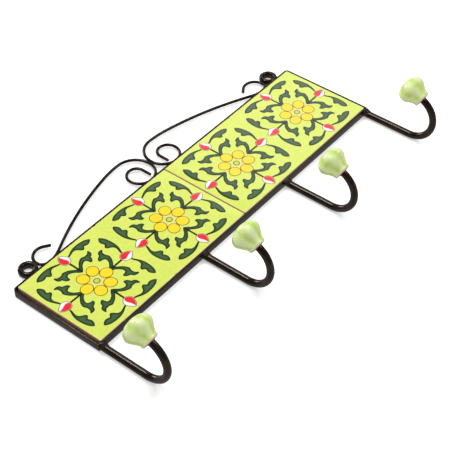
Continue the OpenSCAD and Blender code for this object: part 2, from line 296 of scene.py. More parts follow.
@dataclass(frozen=True)
class TileGlaze(Finish):
    """Fired earthenware tile: lime tin glaze with colours painted into it, and a tan body at the sides.
    The glaze gives a clear, slightly uneven gloss; the bare body is chalky."""

    name: str = "painted_tin_glaze"
    glaze: str = "#e4f072"
    glaze_deep: str = "#d8e862"
    bare_body: str = "#dcb592"
    bare_grit: str = "#a87f5c"
    roughness: float = 0.16
    body_roughness: float = 0.85
    # Streaks of the glazing brush, strokes of the painter's brush and how they lighten or darken the colours
    streak_mm: float = 14.0
    stroke_mm: float = 2.2
    stroke_tone: tuple[float, float] = (0.93, 1.03)
    # The ripple of the fired surface, and the grit of the bare body
    ripple_mm: float = 5.0
    ripple_height_mm: float = 0.05
    ripple_strength: float = 0.6
    grit_mm: float = 0.35
    # The soft line where the glaze ends on a side
    glaze_end_mm: tuple[float, float] = (-0.1, 0.15)
    layers: tuple[PaintLayer, ...] = (
        PaintLayer("flower", 0.0, 6.0, "#e8e580"),
        PaintLayer("leaf", -0.16, 0.1, "#1b2c20"),
        PaintLayer("leaf", 0.5, 0.9, "#33502e"),
        PaintLayer("leaf", 1.0, 2.1, "#4b6640"),
        PaintLayer("bud", -0.22, 0.0, "#3a3140"),
        PaintLayer("bud", 0.2, 0.42, "#fbfaf8"),
        PaintLayer("bud_red", -0.15, 0.15, "#ee3239"),
        PaintLayer("petal", -0.24, 0.0, "#6e4a0c"),
        PaintLayer("petal", 0.28, 0.5, "#ffe12a"),
        PaintLayer("eye", -0.2, 0.02, "#66611a"),
        PaintLayer("eye", 0.45, 0.7, "#c9dc50"),
        PaintLayer("rim", 0.0, 1.0, "#ebe29c"),
    )

    def surface(self, tree: bpy.types.NodeTree, place: bpy.types.NodeSocket) -> dict[str, Any]:
        """Lays the glaze, the painting and the bare sides, from the fields of a tile's mesh.

        Args:
            tree: The material's node tree.
            place: The object's coordinates.

        Returns:
            For each of the shader's inputs that the glaze sets, the output that feeds it.
        """
        patterns = []
        sizes = ((self.streak_mm, 4.0), (self.stroke_mm, 3.0), (self.ripple_mm, 2.0), (self.grit_mm, 2.0))
        for size_mm, detail in sizes:
            pattern = {"Vector": place, "Scale": scale_for(size_mm), "Detail": detail}
            patterns.append(add_node(tree, "ShaderNodeTexNoise", pattern).outputs["Fac"])
        streaks, strokes, ripple, grit = patterns
        mixed = {"Factor": streaks, "A": linear(self.glaze), "B": linear(self.glaze_deep)}
        colour = add_node(tree, "ShaderNodeMix", mixed, data_type="RGBA").outputs["Result"]
        for layer in self.layers:
            depth = add_node(tree, "ShaderNodeAttribute", attribute_name=layer.field).outputs["Fac"]
            reach = {"Value": depth, "From Min": layer.starts_mm, "From Max": layer.full_mm}
            coat = add_node(tree, "ShaderNodeMapRange", reach, interpolation_type="SMOOTHSTEP")
            mixed = {"Factor": coat.outputs["Result"], "A": colour, "B": linear(layer.colour)}
            colour = add_node(tree, "ShaderNodeMix", mixed, data_type="RGBA").outputs["Result"]
        darkest, lightest = self.stroke_tone
        tones = {"Value": strokes, "From Min": 0.3, "From Max": 0.7, "To Min": darkest, "To Max": lightest}
        tone = add_node(tree, "ShaderNodeMapRange", tones).outputs["Result"]
        toned = add_node(tree, "ShaderNodeHueSaturation", {"Value": tone, "Color": colour}).outputs["Color"]
        below = add_node(tree, "ShaderNodeAttribute", attribute_name="bare").outputs["Fac"]
        glazed, unglazed = self.glaze_end_mm
        end = {"Value": below, "From Min": glazed, "From Max": unglazed}
        bare = add_node(tree, "ShaderNodeMapRange", end).outputs["Result"]
        mixed = {"Factor": grit, "A": linear(self.bare_body), "B": linear(self.bare_grit)}
        clay = add_node(tree, "ShaderNodeMix", mixed, data_type="RGBA").outputs["Result"]
        mixed = {"Factor": bare, "A": toned, "B": clay}
        final = add_node(tree, "ShaderNodeMix", mixed, data_type="RGBA").outputs["Result"]
        gloss = {"Value": bare, "To Min": self.roughness, "To Max": self.body_roughness}
        rough = add_node(tree, "ShaderNodeMapRange", gloss).outputs["Result"]
        mixed = {"Factor": bare, "A": ripple, "B": grit}
        relief = add_node(tree, "ShaderNodeMix", mixed, data_type="FLOAT").outputs["Result"]
        waves = {"Height": relief, "Distance": self.ripple_height_mm * MM, "Strength": self.ripple_strength}
        bump = add_node(tree, "ShaderNodeBump", waves).outputs["Normal"]
        return {"Base Color": final, "Roughness": rough, "Normal": bump}


@dataclass(frozen=True)
class KnobGlaze(Finish):
    """Slip-cast earthenware knob in a pale lime lead glaze. The ridges of the lobes are coloured lighter and
    the
    grooves darker: partly the glaze running thin and pooling, partly painted highlight on the ridges and
    painted shade in the grooves. The mouth is left bare."""

    name: str = "knob_lime_glaze"
    glaze: str = "#dcee98"
    # The light colour is thin glaze with a painted highlight, the dark one pooled glaze with painted shade
    thin_and_lit: str = "#ecf7c0"
    pooled_and_shaded: str = "#bad66c"
    bare: str = "#f0decb"
    roughness: float = 0.1
    bare_roughness: float = 0.8
    # Clouds in the glaze, which are its unevenness too
    cloud_mm: float = 5.0
    cloud_height_mm: float = 0.12
    # Where the glaze starts above the mouth, and the specks that make that line ragged
    glaze_start_mm: tuple[float, float] = (1.25, 1.75)
    speck_mm: float = 1.1
    speck_reach_mm: float = 1.6
    # The glaze is milky: light goes this far in
    milkiness: float = 0.15
    milk_depth_mm: float = 1.5

    def surface(self, tree: bpy.types.NodeTree, place: bpy.types.NodeSocket) -> dict[str, Any]:
        """Lays the glaze, from a knob's fields "ridge" and "rise".

        Args:
            tree: The material's node tree.
            place: The object's coordinates.

        Returns:
            For each of the shader's inputs that the glaze sets, its value or the output that feeds it.
        """
        pattern = {"Vector": place, "Scale": scale_for(self.cloud_mm), "Detail": 3.0}
        cloud = add_node(tree, "ShaderNodeTexNoise", pattern).outputs["Fac"]
        ridge = add_node(tree, "ShaderNodeAttribute", attribute_name="ridge").outputs["Fac"]
        sums = {0: cloud, 1: 1.0, 2: -0.25}
        uneven = add_node(tree, "ShaderNodeMath", sums, operation="MULTIPLY_ADD").outputs["Value"]
        # Ridges get the lighter colour and grooves the darker: glaze thickness with painted highlight and
        # painted shade
        sums = {0: ridge, 1: 0.6, 2: uneven}
        thinness_and_light = add_node(tree, "ShaderNodeMath", sums, operation="MULTIPLY_ADD").outputs["Value"]
        ramp = add_node(tree, "ShaderNodeValToRGB", {"Fac": thinness_and_light})
        stops = ((0.05, self.pooled_and_shaded), (0.5, self.glaze), (1.0, self.thin_and_lit))
        while len(ramp.color_ramp.elements) < len(stops):
            ramp.color_ramp.elements.new(0.5)
        for element, (position, colour) in zip(ramp.color_ramp.elements, stops):
            element.position = position
            element.color = linear(colour)
        rise = add_node(tree, "ShaderNodeAttribute", attribute_name="rise").outputs["Fac"]
        pattern = {"Vector": place, "Scale": scale_for(self.speck_mm), "Detail": 2.0}
        speck = add_node(tree, "ShaderNodeTexNoise", pattern).outputs["Fac"]
        sums = {0: speck, 1: self.speck_reach_mm, 2: rise}
        edge = add_node(tree, "ShaderNodeMath", sums, operation="MULTIPLY_ADD").outputs["Value"]
        bare_to, glazed_from = self.glaze_start_mm
        start = {"Value": edge, "From Min": bare_to, "From Max": glazed_from}
        glazed = add_node(tree, "ShaderNodeMapRange", start).outputs["Result"]
        mixed = {"Factor": glazed, "A": linear(self.bare), "B": ramp.outputs["Color"]}
        gloss = {"Value": glazed, "To Min": self.bare_roughness, "To Max": self.roughness}
        waves = {"Height": cloud, "Distance": self.cloud_height_mm * MM, "Strength": 0.5}
        return {
            "Base Color": add_node(tree, "ShaderNodeMix", mixed, data_type="RGBA").outputs["Result"],
            "Roughness": add_node(tree, "ShaderNodeMapRange", gloss).outputs["Result"],
            "Normal": add_node(tree, "ShaderNodeBump", waves).outputs["Normal"],
            "Subsurface Weight": self.milkiness,
            "Subsurface Scale": self.milk_depth_mm * MM,
            "Subsurface Radius": (0.9, 1.0, 0.5),
        }


@dataclass(frozen=True)
class BrushedEnamel(Finish):
    """Mild steel under black brushing enamel: nearly black, faintly brown, with the soft sheen and the slight
    orange peel of paint put on by hand."""

    name: str = "black_brushed_enamel"
    paint: str = "#150e0a"
    worn: str = "#2c1f17"
    sheen: str = "#ffeedd"
    # The enamel's roughness, and how far its runs take it down and up
    roughness: float = 0.2
    roughness_spread: tuple[float, float] = (-0.06, 0.1)
    run_mm: float = 9.0
    peel_mm: float = 1.4
    peel_height_mm: float = 0.02

    def surface(self, tree: bpy.types.NodeTree, place: bpy.types.NodeSocket) -> dict[str, Any]:
        """Lays the runs and the orange peel of the paint.

        Args:
            tree: The material's node tree.
            place: The object's coordinates.

        Returns:
            For each of the shader's inputs that the enamel sets, its value or the output that feeds it.
        """
        pattern = {"Vector": place, "Scale": scale_for(self.run_mm), "Detail": 5.0}
        runs = add_node(tree, "ShaderNodeTexNoise", pattern).outputs["Fac"]
        pattern = {"Vector": place, "Scale": scale_for(self.peel_mm), "Detail": 2.0}
        peel = add_node(tree, "ShaderNodeTexNoise", pattern).outputs["Fac"]
        thinned = {"Value": runs, "From Min": 0.42, "From Max": 0.72}
        wear = add_node(tree, "ShaderNodeMapRange", thinned).outputs["Result"]
        mixed = {"Factor": wear, "A": linear(self.paint), "B": linear(self.worn)}
        smoothest, roughest = (self.roughness + spread for spread in self.roughness_spread)
        gloss = {"Value": runs, "To Min": smoothest, "To Max": roughest}
        waves = {"Height": peel, "Distance": self.peel_height_mm * MM, "Strength": 0.5}
        return {
            "Base Color": add_node(tree, "ShaderNodeMix", mixed, data_type="RGBA").outputs["Result"],
            "Roughness": add_node(tree, "ShaderNodeMapRange", gloss).outputs["Result"],
            "Normal": add_node(tree, "ShaderNodeBump", waves).outputs["Normal"],
            "Specular Tint": linear(self.sheen),
        }


@dataclass(frozen=True)
class RoughFill(Finish):
    """A sanded, trowelled fill that dries matt and grainy, such as grout, tile cement or plaster."""

    colour: str
    dark: str
    roughness: float = 0.9
    grain_mm: float = 0.5
    grain_height_mm: float = 0.2

    def surface(self, tree: bpy.types.NodeTree, place: bpy.types.NodeSocket) -> dict[str, Any]:
        """Lays the grains of sand.

        Args:
            tree: The material's node tree.
            place: The object's coordinates.

        Returns:
            For each of the shader's inputs that the fill sets, its value or the output that feeds it.
        """
        pattern = {"Vector": place, "Scale": scale_for(self.grain_mm), "Detail": 6.0, "Roughness": 0.65}
        grain = add_node(tree, "ShaderNodeTexNoise", pattern).outputs["Fac"]
        mixed = {"Factor": grain, "A": linear(self.dark), "B": linear(self.colour)}
        pits = {"Height": grain, "Distance": self.grain_height_mm * MM}
        return {
            "Base Color": add_node(tree, "ShaderNodeMix", mixed, data_type="RGBA").outputs["Result"],
            "Normal": add_node(tree, "ShaderNodeBump", pits).outputs["Normal"],
            "Roughness": self.roughness,
        }


@dataclass(frozen=True)
class WhiteCard(Finish):
    """Matt white card, with the faint mottle of its fibres. The camera sees it from its front only, and all
    other light goes through it, so that the room lights the front and the back of what lies on it."""

    name: str = "matt_white_card"
    light: str = "#fefefe"
    dark: str = "#fafafa"
    fibres_per_metre: float = 900.0
    # Light that the card gives of itself, which keeps the shadows on it pale
    glow: float = 0.36

    def surface(self, tree: bpy.types.NodeTree, place: bpy.types.NodeSocket) -> dict[str, Any]:
        """Lays the fibres.

        Args:
            tree: The material's node tree.
            place: The object's coordinates.

        Returns:
            For each of the shader's inputs that the card sets, its value or the output that feeds it.
        """
        pattern = {"Vector": place, "Scale": self.fibres_per_metre}
        fibre = add_node(tree, "ShaderNodeTexNoise", pattern).outputs["Fac"]
        mixed = {"Factor": fibre, "A": linear(self.dark), "B": linear(self.light)}
        return {
            "Base Color": add_node(tree, "ShaderNodeMix", mixed, data_type="RGBA").outputs["Result"],
            "Roughness": 1.0,
            "Specular IOR Level": 0.0,
            "Emission Color": (1, 1, 1, 1),
            "Emission Strength": self.glow,
        }

    def material(self) -> bpy.types.Material:
        """Builds the card, and makes it clear to all but a camera in front of it.

        Returns:
            A new material that wears the finish.
        """
        material = super().material()
        tree = material.node_tree
        behind = add_node(tree, "ShaderNodeNewGeometry").outputs["Backfacing"]
        clear = add_node(tree, "ShaderNodeBsdfTransparent").outputs["BSDF"]
        seen = add_node(tree, "ShaderNodeLightPath").outputs["Is Camera Ray"]
        unseen = add_node(tree, "ShaderNodeMath", {0: 1.0, 1: seen}, operation="SUBTRACT").outputs["Value"]
        gone = add_node(tree, "ShaderNodeMath", {0: behind, 1: unseen}, operation="MAXIMUM").outputs["Value"]
        card = tree.nodes["Principled BSDF"].outputs["BSDF"]
        shown = add_node(tree, "ShaderNodeMixShader", {0: gone, 1: card, 2: clear}).outputs["Shader"]
        tree.links.new(shown, tree.nodes["Material Output"].inputs["Surface"])
        return material


# ---------------------------------------------------------------- shapes that follow a path or a rule


def node_group(name: str, sizes: dict[str, tuple[str, Any]]) -> bpy.types.NodeTree:
    """Starts a geometry node tree with a mesh input, named sizes and a mesh output.

    Args:
        name: The tree's name.
        sizes: For each input's name, its socket type and default value; None leaves the default.

    Returns:
        The tree, with its input node as its first node.
    """
    tree = bpy.data.node_groups.new(name, "GeometryNodeTree")
    tree.interface.new_socket("Geometry", in_out="OUTPUT", socket_type="NodeSocketGeometry")
    tree.interface.new_socket("Geometry", in_out="INPUT", socket_type="NodeSocketGeometry")
    for label, (kind, default) in sizes.items():
        socket = tree.interface.new_socket(label, in_out="INPUT", socket_type=kind)
        if default is not None:
            socket.default_value = default
    add_node(tree, "NodeGroupInput")
    return tree


def finish_tree(
    tree: bpy.types.NodeTree, geometry: bpy.types.NodeSocket, material: bpy.types.NodeSocket
) -> bpy.types.NodeTree:
    """Ends a tree: instances are made real, shaded smooth and given their material.

    Args:
        tree: The tree.
        geometry: The output that holds the finished shape.
        material: The tree's own input for its material.

    Returns:
        The same tree.
    """
    real = add_node(tree, "GeometryNodeRealizeInstances", {"Geometry": geometry}).outputs["Geometry"]
    smooth = add_node(tree, "GeometryNodeSetShadeSmooth", {"Geometry": real}).outputs["Geometry"]
    painted = add_node(tree, "GeometryNodeSetMaterial", {"Geometry": smooth, "Material": material})
    add_node(tree, "NodeGroupOutput", {"Geometry": painted.outputs["Geometry"]})
    return tree


def baked(piece: bpy.types.Object, tree: bpy.types.NodeTree, values: dict[str, Any]) -> bpy.types.Object:
    """Runs a geometry node tree on a piece and keeps the result as a plain mesh.

    Args:
        piece: The object that carries the tree's input geometry.
        tree: The tree.
        values: The values of its named inputs.

    Returns:
        The same object, with the finished mesh and no modifier.
    """
    modifier = piece.modifiers.new(tree.name, "NODES")
    modifier.node_group = tree
    for item in tree.interface.items_tree:
        if item.item_type == "SOCKET" and item.in_out == "INPUT" and item.name in values:
            modifier[item.identifier] = values[item.name]
    piece.update_tag()
    evaluated = piece.evaluated_get(bpy.context.evaluated_depsgraph_get())
    mesh = bpy.data.meshes.new_from_object(evaluated)
    piece.modifiers.clear()
    piece.data = mesh
    mesh.name = piece.name
    return piece


def rod_tree() -> bpy.types.NodeTree:
    """Makes the tree of a round, slightly uneven rod along a line, as thick as its field "taper" says.

    Returns:
        The tree.
    """
    tree = node_group(
        "rod_along_path",
        {
            "Radius": ("NodeSocketFloat", 0.001),
            "Sides": ("NodeSocketInt", 24),
            "Unevenness": ("NodeSocketFloat", 0.02),
            "Wave": ("NodeSocketFloat", 0.012),
            "Material": ("NodeSocketMaterial", None),
        },
    )
    group = tree.nodes[0].outputs
    line = add_node(tree, "GeometryNodeMeshToCurve", {"Mesh": group["Geometry"]}).outputs["Curve"]
    place = add_node(tree, "GeometryNodeInputPosition").outputs["Position"]
    scale = add_node(tree, "ShaderNodeMath", {0: 1.0, 1: group["Wave"]}, operation="DIVIDE").outputs["Value"]
    pattern = {"Vector": place, "Scale": scale, "Detail": 1.0}
    wave = add_node(tree, "ShaderNodeTexNoise", pattern).outputs["Fac"]
    centred = add_node(tree, "ShaderNodeMath", {0: wave, 1: 0.5}, operation="SUBTRACT").outputs["Value"]
    uneven = add_node(
        tree, "ShaderNodeMath", {0: centred, 1: group["Unevenness"], 2: 1.0}, operation="MULTIPLY_ADD"
    ).outputs["Value"]
    taper = add_node(
        tree, "GeometryNodeInputNamedAttribute", {"Name": "taper"}, data_type="FLOAT"
    ).outputs["Attribute"]
    thickness = add_node(tree, "ShaderNodeMath", {0: uneven, 1: taper}, operation="MULTIPLY").outputs["Value"]
    section = add_node(
        tree, "GeometryNodeCurvePrimitiveCircle", {"Resolution": group["Sides"], "Radius": group["Radius"]}
    ).outputs["Curve"]
    swept = add_node(
        tree,
        "GeometryNodeCurveToMesh",
        {"Curve": line, "Profile Curve": section, "Scale": thickness, "Fill Caps": True},
    ).outputs["Mesh"]
    return finish_tree(tree, swept, group["Material"])


def lobe_tree() -> bpy.types.NodeTree:
    """Makes the tree that presses twisted lobes into a body about Z, as deep as its field "swell" lets them.

    Returns:
        The tree.
    """
    tree = node_group(
        "twisted_lobes",
        {
            "Lobes": ("NodeSocketInt", 6),
            "Depth": ("NodeSocketFloat", 0.001),
            "Twist": ("NodeSocketFloat", 60.0),
            "Phase": ("NodeSocketFloat", 0.0),
            "Wander": ("NodeSocketFloat", 2.0),
            "Material": ("NodeSocketMaterial", None),
        },
    )
    group = tree.nodes[0].outputs
    place = add_node(tree, "GeometryNodeInputPosition").outputs["Position"]
    parts = add_node(tree, "ShaderNodeSeparateXYZ", {"Vector": place}).outputs
    sides = {0: parts["Y"], 1: parts["X"]}
    around = add_node(tree, "ShaderNodeMath", sides, operation="ARCTAN2").outputs["Value"]
    turned = add_node(
        tree, "ShaderNodeMath", {0: parts["Z"], 1: group["Twist"], 2: around}, operation="MULTIPLY_ADD"
    ).outputs["Value"]
    angle = add_node(
        tree, "ShaderNodeMath", {0: turned, 1: group["Lobes"], 2: group["Phase"]}, operation="MULTIPLY_ADD"
    ).outputs["Value"]
    drift = add_node(
        tree,
        "ShaderNodeTexNoise",
        {"Vector": place, "W": group["Phase"], "Scale": LOBE_DRIFTS, "Detail": 1.0},
        noise_dimensions="4D",
    ).outputs["Fac"]
    angle = add_node(
        tree, "ShaderNodeMath", {0: drift, 1: group["Wander"], 2: angle}, operation="MULTIPLY_ADD"
    ).outputs["Value"]
    wave = add_node(tree, "ShaderNodeMath", {0: angle}, operation="COSINE").outputs["Value"]
    halves = {0: wave, 1: 0.5, 2: 0.5}
    ridge = add_node(tree, "ShaderNodeMath", halves, operation="MULTIPLY_ADD").outputs["Value"]
    groove = add_node(tree, "ShaderNodeMath", {0: ridge, 1: 1.0}, operation="SUBTRACT").outputs["Value"]
    swell = add_node(
        tree, "GeometryNodeInputNamedAttribute", {"Name": "swell"}, data_type="FLOAT"
    ).outputs["Attribute"]
    deepest = {0: swell, 1: group["Depth"]}
    depth = add_node(tree, "ShaderNodeMath", deepest, operation="MULTIPLY").outputs["Value"]
    push = add_node(tree, "ShaderNodeMath", {0: groove, 1: depth}, operation="MULTIPLY").outputs["Value"]
    level = {0: place, 1: (1.0, 1.0, 0.0)}
    flat = add_node(tree, "ShaderNodeVectorMath", level, operation="MULTIPLY").outputs[0]
    outward = add_node(tree, "ShaderNodeVectorMath", {0: flat}, operation="NORMALIZE").outputs[0]
    scaled = {0: outward, "Scale": push}
    offset = add_node(tree, "ShaderNodeVectorMath", scaled, operation="SCALE").outputs[0]
    kept = add_node(
        tree,
        "GeometryNodeStoreNamedAttribute",
        {"Geometry": group["Geometry"], "Name": "ridge", "Value": ridge},
        data_type="FLOAT",
        domain="POINT",
    ).outputs["Geometry"]
    moved = {"Geometry": kept, "Offset": offset}
    pressed = add_node(tree, "GeometryNodeSetPosition", moved).outputs["Geometry"]
    return finish_tree(tree, pressed, group["Material"])


def bead_tree() -> bpy.types.NodeTree:
    """Makes the tree that sets a drop of weld metal on each point, dented in its own way, with the radii that
    the field "size" gives.

    Returns:
        The tree.
    """
    tree = node_group(
        "weld_drops",
        {
            "Dent": ("NodeSocketFloat", 0.3),
            "Dent Size": ("NodeSocketFloat", 0.002),
            "Seed": ("NodeSocketInt", 3),
            "Material": ("NodeSocketMaterial", None),
        },
    )
    group = tree.nodes[0].outputs
    drop = add_node(tree, "GeometryNodeMeshIcoSphere", {"Radius": 1.0, "Subdivisions": 4}).outputs["Mesh"]
    size = add_node(
        tree, "GeometryNodeInputNamedAttribute", {"Name": "size"}, data_type="FLOAT_VECTOR"
    ).outputs["Attribute"]
    drops = add_node(
        tree, "GeometryNodeInstanceOnPoints", {"Points": group["Geometry"], "Instance": drop, "Scale": size}
    ).outputs["Instances"]
    real = add_node(tree, "GeometryNodeRealizeInstances", {"Geometry": drops}).outputs["Geometry"]
    place = add_node(tree, "GeometryNodeInputPosition").outputs["Position"]
    scale = add_node(
        tree, "ShaderNodeMath", {0: 1.0, 1: group["Dent Size"]}, operation="DIVIDE"
    ).outputs["Value"]
    dents = add_node(
        tree,
        "ShaderNodeTexNoise",
        {"Vector": place, "W": group["Seed"], "Scale": scale, "Detail": 2.0},
        noise_dimensions="4D",
    ).outputs["Fac"]
    centred = add_node(tree, "ShaderNodeMath", {0: dents, 1: 0.5}, operation="SUBTRACT").outputs["Value"]
    deepest = {0: centred, 1: group["Dent"]}
    depth = add_node(tree, "ShaderNodeMath", deepest, operation="MULTIPLY").outputs["Value"]
    millimetres = add_node(tree, "ShaderNodeMath", {0: depth, 1: MM}, operation="MULTIPLY").outputs["Value"]
    normal = add_node(tree, "GeometryNodeInputNormal").outputs["Normal"]
    scaled = {0: normal, "Scale": millimetres}
    offset = add_node(tree, "ShaderNodeVectorMath", scaled, operation="SCALE").outputs[0]
    moved = {"Geometry": real, "Offset": offset}
    dented = add_node(tree, "GeometryNodeSetPosition", moved).outputs["Geometry"]
    return finish_tree(tree, dented, group["Material"])


@dataclass
class Path:
    """A path of straights and bends in one plane, walked like a pencil line."""

    point: Vector
    heading: Vector
    up: Vector
    step: float = 0.0006
    points: list[Vector] = field(default_factory=list)

    def __post_init__(self) -> None:
        """Starts the line at its first point."""
        self.points.append(self.point.copy())

    def straight(self, length: float) -> "Path":
        """Walks straight ahead.

        Args:
            length: How far, in metres.

        Returns:
            The path itself.
        """
        count = max(1, round(length / (4 * self.step)))
        start = self.point.copy()
        for k in range(1, count + 1):
            self.points.append(start + self.heading * (length * k / count))
        self.point = self.points[-1].copy()
        return self

    def bend(self, radius: float, turn: float) -> "Path":
        """Walks round an arc.

        Args:
            radius: The arc's radius, in metres.
            turn: The turn in degrees; positive is to the left, as seen against the plane's normal.

        Returns:
            The path itself.
        """
        side = math.copysign(1.0, turn)
        centre = self.point + self.up.cross(self.heading) * (side * radius)
        spoke = self.point - centre
        count = max(3, round(abs(math.radians(turn)) * radius / self.step))
        for k in range(1, count + 1):
            turned = Matrix.Rotation(math.radians(turn) * k / count, 3, self.up)
            self.points.append(centre + turned @ spoke)
        self.heading = Matrix.Rotation(math.radians(turn), 3, self.up) @ self.heading
        self.point = self.points[-1].copy()
        return self


def rod_along(
    name: str,
    points: list[Vector],
    radius: float,
    tree: bpy.types.NodeTree,
    paint: bpy.types.Material,
    round_start: bool,
    round_end: bool,
    unevenness: float = 0.05,
) -> bpy.types.Object:
    """Makes a rod along a line of points.

    Args:
        name: The piece's name.
        points: The rod's middle line, in metres.
        radius: The rod's radius.
        tree: The tree of rod_tree.
        paint: The rod's material.
        round_start: Whether the first end is a round tip.
        round_end: Whether the last end is a round tip.
        unevenness: How much the radius wanders, as a share.

    Returns:
        The finished piece.
    """
    line = np.array(points)
    along = np.concatenate([[0], np.cumsum(np.linalg.norm(np.diff(line, axis=0), axis=1))])
    tips = radius * (1 - np.cos(np.linspace(0.12, math.pi / 2, 8)))
    stations = np.concatenate([tips * round_start, along[(along > radius) & (along < along[-1] - radius)],
                               along[-1] - tips * round_end])
    stations = np.unique(np.concatenate([stations, [along[-1] - radius, radius]]))
    line = np.stack([np.interp(stations, along, line[:, k]) for k in range(3)], 1)
    taper = np.ones(len(stations))
    for wanted, reach in ((round_start, stations), (round_end, along[-1] - stations)):
        if wanted:
            near = np.clip(1 - reach / radius, 0, 0.999)
            taper = np.minimum(taper, np.sqrt(1 - near**2))
    mesh = bpy.data.meshes.new(name)
    mesh.from_pydata([tuple(p) for p in line], [(k, k + 1) for k in range(len(line) - 1)], [])
    write_field(mesh, "taper", taper)
    sizes = {"Radius": radius, "Sides": ROD_SIDES, "Unevenness": unevenness, "Wave": ROD_WAVE}
    return baked(linked(name, mesh), tree, sizes | {"Material": paint})


def revolved(name: str, profile: Points, sides: int) -> bpy.types.Object:
    """Turns a closed profile about Z into a ring or a body.

    Args:
        name: The piece's name.
        profile: Radius and height of each point, in metres; a radius of 0 is a pole.
        sides: How many steps the turn has.

    Returns:
        A closed piece about the Z axis.
    """
    turn = np.linspace(0, 2 * math.pi, sides, endpoint=False)
    vertices = np.array([(r * math.cos(a), r * math.sin(a), h) for r, h in profile for a in turn])
    rows = len(profile)
    faces = [
        (k * sides + s, k * sides + (s + 1) % sides, (k + 1) % rows * sides + (s + 1) % sides,
         (k + 1) % rows * sides + s)
        for k in range(rows)
        for s in range(sides)
    ]
    piece = mesh_object(name, vertices, faces)
    shape = bmesh.new()
    shape.from_mesh(piece.data)
    bmesh.ops.remove_doubles(shape, verts=shape.verts, dist=1e-7)
    bmesh.ops.recalc_face_normals(shape, faces=shape.faces)
    shape.to_mesh(piece.data)
    shape.free()
    piece.data.shade_smooth()
    return piece


# ---------------------------------------------------------------- the tiles


@dataclass(frozen=True)
class FloralMotif:
    """A tile's painting: a six-petalled flower in eight leaves, with four buds and eight outer leaves.
    All outlines are in millimetres from the tile's centre, and lie in the eighth right of the top bud."""

    outer_leaf: Points = field(
        default_factory=lambda: [
            (4.3, 30.9), (6, 31.6), (8, 32.6), (10, 33.4), (12, 33.9), (14, 34.2), (17, 34.2), (20, 33.9),
            (23, 33.2), (25, 32.2), (26.4, 30.9), (25.8, 29.9), (24.5, 28.9), (23, 28.3), (21.5, 28.2),
            (20, 28.6), (19, 29.1), (18.3, 28.5), (17.8, 27.8), (17, 27.0), (16.2, 26.9), (15.3, 27.3),
            (14.5, 28.1), (13.8, 29.3), (13, 30.3), (12, 31), (10.5, 31.3), (9, 31.1), (7.5, 30.6),
            (6, 30.1), (4.5, 29.9),
        ]
    )
    inner_leaf: Points = field(
        default_factory=lambda: [
            (0, 12.9), (0, 15.5), (0.9, 17.5), (1.5, 18.2), (3, 19.7), (5, 21.4), (7, 22.4), (9, 23.1),
            (10, 22.9), (11.5, 22.2), (13, 22.1), (14.5, 22.3), (15.5, 22.9), (16.3, 23.9), (17, 24.1),
            (17.4, 23.5), (17.5, 22.3), (17.3, 20.8), (16.7, 19.7), (15.7, 19.0), (14.7, 18.7), (14.2, 17.8),
            (13.7, 16.6), (12.9, 15.5), (11.9, 14.8), (10.7, 14.7), (10.2, 15.2), (10.2, 16.2), (9.8, 17.6),
            (9.2, 18.5), (8.2, 18.9), (7, 18.7), (5.5, 18), (4, 16.9), (2.8, 15.5), (1.8, 14.3), (0.9, 13.6),
        ]
    )
    bud: Points = field(
        default_factory=lambda: [
            (0, 36), (2, 34.6), (3.2, 32.7), (4.1, 30.7), (4.2, 29.5), (3.9, 28), (3.1, 26.8), (2, 25.9),
            (0, 25.1), (-2, 25.9), (-3.1, 26.8), (-3.9, 28), (-4.2, 29.5), (-4.1, 30.7), (-3.2, 32.7),
            (-2, 34.6),
        ]
    )
    # The line that parts a bud's two colours: how far it lies right of the bud's middle, from foot to tip
    parting: Points = field(
        default_factory=lambda: [
            (25.3, 0), (26, 0.8), (27, 1.4), (28.5, 1.6), (30, 1.2), (31.5, 0.6), (33, 0.2), (35, 0),
        ]
    )
    bud_outline: float = 0.45
    stem_half: float = 0.75
    stem_from: float = 16.0
    stem_to: float = 25.4
    petals: int = 6
    petal_centre: float = 9.6
    petal_long: float = 4.9
    petal_wide: float = 4.55
    eye_radius: float = 2.45
    flower_radius: float = 14.5

    def fields(self, x: np.ndarray, z: np.ndarray, first_petal: float, seed: float) -> dict[str, np.ndarray]:
        """Works out how deep each point lies in each part of the painting.

        Args:
            x: Distance right of the tile's centre, in millimetres.
            z: Distance above it.
            first_petal: Direction of the first petal, in degrees.
            seed: Gives each tile its own slips of the brush.

        Returns:
            For each part's name, the depth inside it in millimetres, negative outside.
        """
        x = x + 0.28 * wander(x, z, seed)
        z = z + 0.28 * wander(z, x, seed + 11)
        low, high = np.minimum(abs(x), abs(z)), np.maximum(abs(x), abs(z))
        leaf = np.maximum(
            signed_distance(low, high, closed_curve(self.outer_leaf)),
            signed_distance(low, high, closed_curve(self.inner_leaf)),
        )
        middle = (self.stem_from + self.stem_to) / 2
        stem = np.minimum(self.stem_half - low, (self.stem_to - self.stem_from) / 2 - abs(high - middle))
        leaf = np.maximum(leaf, stem)

        quarter = np.floor((np.degrees(np.arctan2(x, z)) + 45) / 90)
        turn = np.radians(90 * quarter)
        along = x * np.sin(turn) + z * np.cos(turn)
        across = x * np.cos(turn) - z * np.sin(turn)
        bud = signed_distance(across, along, closed_curve(self.bud))
        heights, places = zip(*self.parting)
        parted = np.interp(along, heights, places) - across

        radius, angle = np.hypot(x, z), np.degrees(np.arctan2(z, x)) - first_petal
        step = 360 / self.petals
        own = np.radians((angle + step / 2) % step - step / 2)
        out, aside = radius * np.cos(own) - self.petal_centre, radius * np.sin(own)
        ring = np.hypot(out / self.petal_long, aside / self.petal_wide)
        petal = (1 - ring) * (self.petal_long + self.petal_wide) / 2
        return {
            "leaf": leaf,
            "bud": bud,
            "bud_red": np.minimum(bud - self.bud_outline, parted),
            "petal": petal,
            "eye": self.eye_radius - radius,
            "flower": self.flower_radius - radius,
        }


